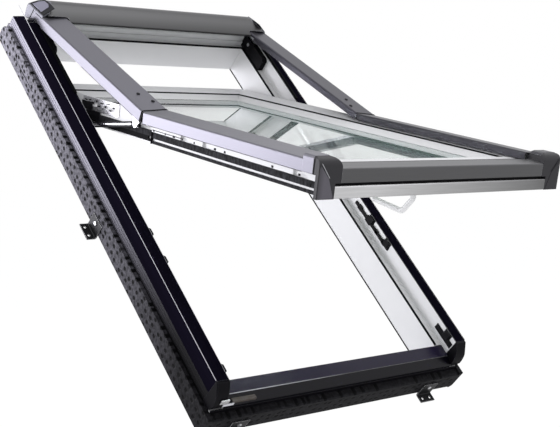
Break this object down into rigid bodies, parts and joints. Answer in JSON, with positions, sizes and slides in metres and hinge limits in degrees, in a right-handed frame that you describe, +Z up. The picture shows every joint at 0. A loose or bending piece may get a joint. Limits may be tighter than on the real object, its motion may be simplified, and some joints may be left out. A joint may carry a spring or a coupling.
{
  "type": "roof window",
  "caption": "Roof window with its frame, lifted on two arms under a rolled hood and tilted open on its knees; stays slide in the rebates.",
  "frame": {"origin": "middle of the sill on the frame's flat room edge, 18 mm in from the sill's front", "axes": "+X across the window to the right as seen from outside, +Y level into the roof and +Z up; the roof rises at 45 degrees along +Y and +Z"},
  "size_m": [0.8068, 1.2114, 0.9647],
  "materials": {
    "black_cladding": "glossy near-black coated aluminium",
    "black_foam": "dimpled black foam",
    "black_plastic": "moulded black plastic",
    "black_rubber": "matt black gasket",
    "bracket_steel": "zinc plated steel",
    "dark_cladding": "glossy dark coated aluminium",
    "glass": "clear float glass, faint green",
    "grey_cap": "satin grey moulded plastic",
    "grey_cover": "grey anodised aluminium sheet",
    "hardware_steel": "silver plated steel",
    "light_grey_profile": "light grey stepped profile",
    "screw_steel": "zinc plated steel",
    "silver_bar": "brushed grey aluminium sheet",
    "silver_strip": "ribbed bare aluminium",
    "spacer_grey": "dark spacer and sealant",
    "white_frame": "satin white extruded profile",
    "white_handle": "white moulded handle",
    "white_sash": "satin white extruded profile"
  },
  "bodies": {
    "frame": {"bracket_screws": "screw_steel", "corner_block_left": "black_plastic", "corner_block_right": "black_plastic", "frame_gasket": "black_rubber", "frame_profile": "white_frame", "guide_track_left": "hardware_steel", "guide_track_right": "hardware_steel", "head_brackets": "bracket_steel", "head_cladding": "black_cladding", "head_wall_profile": "light_grey_profile", "hinge_housing_left": "black_plastic", "hinge_housing_right": "black_plastic", "hinge_pins": "screw_steel", "insulation_head": "black_foam", "insulation_left": "black_foam", "insulation_right": "black_foam", "insulation_sill": "black_foam", "rail_seals": "black_rubber", "side_brackets": "bracket_steel", "side_cladding_left": "black_cladding", "side_cladding_right": "black_cladding", "side_strips": "silver_strip", "sill_brackets": "bracket_steel", "sill_cladding": "dark_cladding", "strikers": "black_plastic"},
    "yoke": {"arm_cover_left": "grey_cover", "arm_cover_right": "grey_cover", "cover_screws": "screw_steel", "hood_cap_left": "grey_cap", "hood_cap_right": "grey_cap", "hood_cover": "grey_cover", "knee_pins": "screw_steel", "lift_arm_left": "hardware_steel", "lift_arm_right": "hardware_steel"},
    "sash": {"bead_gasket": "black_rubber", "corner_cap_left": "grey_cap", "corner_cap_right": "grey_cap", "flange_seals": "black_rubber", "glass_spacer": "spacer_grey", "handle_rosette": "white_handle", "inner_pane": "glass", "outer_pane": "glass", "sash_bar_lower": "silver_bar", "sash_bar_upper": "grey_cover", "sash_cover_left": "grey_cover", "sash_cover_right": "grey_cover", "sash_flange_left": "white_sash", "sash_flange_right": "white_sash", "sash_frame": "white_sash", "sash_rail": "black_plastic", "sash_seals": "black_rubber", "side_plate_left": "hardware_steel", "side_plate_right": "hardware_steel"},
    "handle": {"handle_grip": "white_handle"},
    "shoe_left": {"shoe_left": "black_plastic"},
    "shoe_right": {"shoe_right": "black_plastic"},
    "stay_left": {"stay_left": "hardware_steel"},
    "stay_right": {"stay_right": "hardware_steel"}
  },
  "joints": [
    {"name": "yoke_lift", "type": "hinge", "parent": "frame", "child": "yoke", "pos_m": [0, 0.69254, 0.83962], "axis": [-1, 0, 0], "range_deg": [-16.9, 2]},
    {"name": "sash_tilt", "type": "hinge", "parent": "yoke", "child": "sash", "pos_m": [0, 0.21512, 0.61531], "axis": [-1, 0, 0], "range_deg": [-18.3, 3]},
    {"name": "handle_turn", "type": "hinge", "parent": "sash", "child": "handle", "pos_m": [0, -0.26107, 0.47217], "axis": [0, 0.1702, -0.9854], "range_deg": [-90, 0]},
    {"name": "shoe_slide_left", "type": "slide", "parent": "frame", "child": "shoe_left", "axis": [0, 0.7071, 0.7071], "range_m": [-0.00487, 0.03819]},
    {"name": "stay_turn_left", "type": "hinge", "parent": "shoe_left", "child": "stay_left", "pos_m": [0, 0.46203, 0.60911], "axis": [-1, 0, 0], "range_deg": [-45.1, 5.42]},
    {"name": "shoe_slide_right", "type": "slide", "parent": "frame", "child": "shoe_right", "axis": [0, 0.7071, 0.7071], "range_m": [-0.00487, 0.03819]},
    {"name": "stay_turn_right", "type": "hinge", "parent": "shoe_right", "child": "stay_right", "pos_m": [0, 0.46203, 0.60911], "axis": [-1, 0, 0], "range_deg": [-45.1, 5.42]}
  ],
  "couplings": [
    {"joint": "shoe_slide_left", "follows": "yoke_lift", "m_per_rad": -0.12813},
    {"joint": "stay_turn_left", "follows": "yoke_lift", "ratio": 2.6627},
    {"joint": "shoe_slide_right", "follows": "yoke_lift", "m_per_rad": -0.12813},
    {"joint": "stay_turn_right", "follows": "yoke_lift", "ratio": 2.6627}
  ]
}
